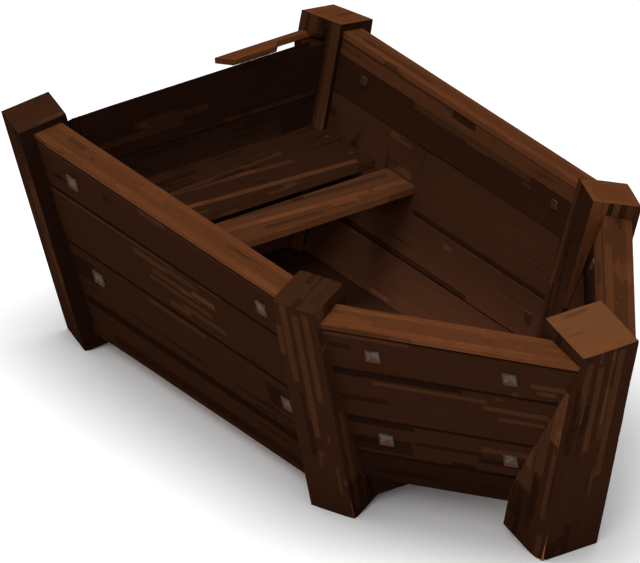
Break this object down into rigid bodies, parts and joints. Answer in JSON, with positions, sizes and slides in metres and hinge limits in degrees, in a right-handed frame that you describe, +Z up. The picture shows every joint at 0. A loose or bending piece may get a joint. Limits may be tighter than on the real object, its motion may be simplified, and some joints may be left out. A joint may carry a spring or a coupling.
{
  "type": "wooden mine tub",
  "caption": "Open wooden mine tub with a pointed bow: heavy planks housed in leaning corner posts that serve as feet, with cap boards, a plank floor and a low seat across the back.",
  "frame": {"origin": "middle of the tub's outline on the ground, at the level of the feet", "axes": "+X to the pointed bow, +Y to the tub's own left, +Z up"},
  "size_m": [1.526, 0.8712, 0.5485],
  "materials": {
    "post_wood": "dark weathered oak, worn edges",
    "wall_wood": "dark tarred planks with streaked grain",
    "cap_wood": "lighter worn boards",
    "floor_wood": "dark dusty boards",
    "seat_wood": "dark boards with a rubbed front edge",
    "iron": "grey forged iron with rust"
  },
  "bodies": {
    "root": {"bow_post": "post_wood", "left_shoulder_post": "post_wood", "right_shoulder_post": "post_wood", "left_rear_post": "post_wood", "right_rear_post": "post_wood", "left_side_plank_1": "wall_wood", "left_side_plank_2": "wall_wood", "left_side_plank_3": "wall_wood", "left_side_plank_4": "wall_wood", "right_side_plank_1": "wall_wood", "right_side_plank_2": "wall_wood", "right_side_plank_3": "wall_wood", "right_side_plank_4": "wall_wood", "left_bow_plank_1": "wall_wood", "left_bow_plank_2": "wall_wood", "left_bow_plank_3": "wall_wood", "left_bow_plank_4": "wall_wood", "right_bow_plank_1": "wall_wood", "right_bow_plank_2": "wall_wood", "right_bow_plank_3": "wall_wood", "right_bow_plank_4": "wall_wood", "rear_plank_1": "wall_wood", "rear_plank_2": "wall_wood", "rear_plank_3": "wall_wood", "rear_plank_4": "wall_wood", "left_side_cap": "cap_wood", "right_side_cap": "cap_wood", "left_bow_cap": "cap_wood", "right_bow_cap": "cap_wood", "rear_cap_remnant": "cap_wood", "floor_board_1": "floor_wood", "floor_board_2": "floor_wood", "floor_board_3": "floor_wood", "floor_board_4": "floor_wood", "bow_board_1": "floor_wood", "bow_board_2": "floor_wood", "bow_board_3": "floor_wood", "rear_bearer": "floor_wood", "middle_bearer": "floor_wood", "front_bearer": "floor_wood", "left_bow_cleat": "floor_wood", "right_bow_cleat": "floor_wood", "seat_rear_board": "seat_wood", "seat_middle_board": "seat_wood", "seat_front_board": "seat_wood", "left_seat_cleat": "seat_wood", "right_seat_cleat": "seat_wood", "left_side_spikes": "iron", "right_side_spikes": "iron", "left_bow_spikes": "iron", "right_bow_spikes": "iron", "side_dowels": "cap_wood", "bow_dowels": "cap_wood", "rear_dowels": "cap_wood", "cap_pegs": "cap_wood", "floor_nails": "iron", "seat_nails": "iron", "cleat_nails": "iron"}
  },
  "joints": []
}
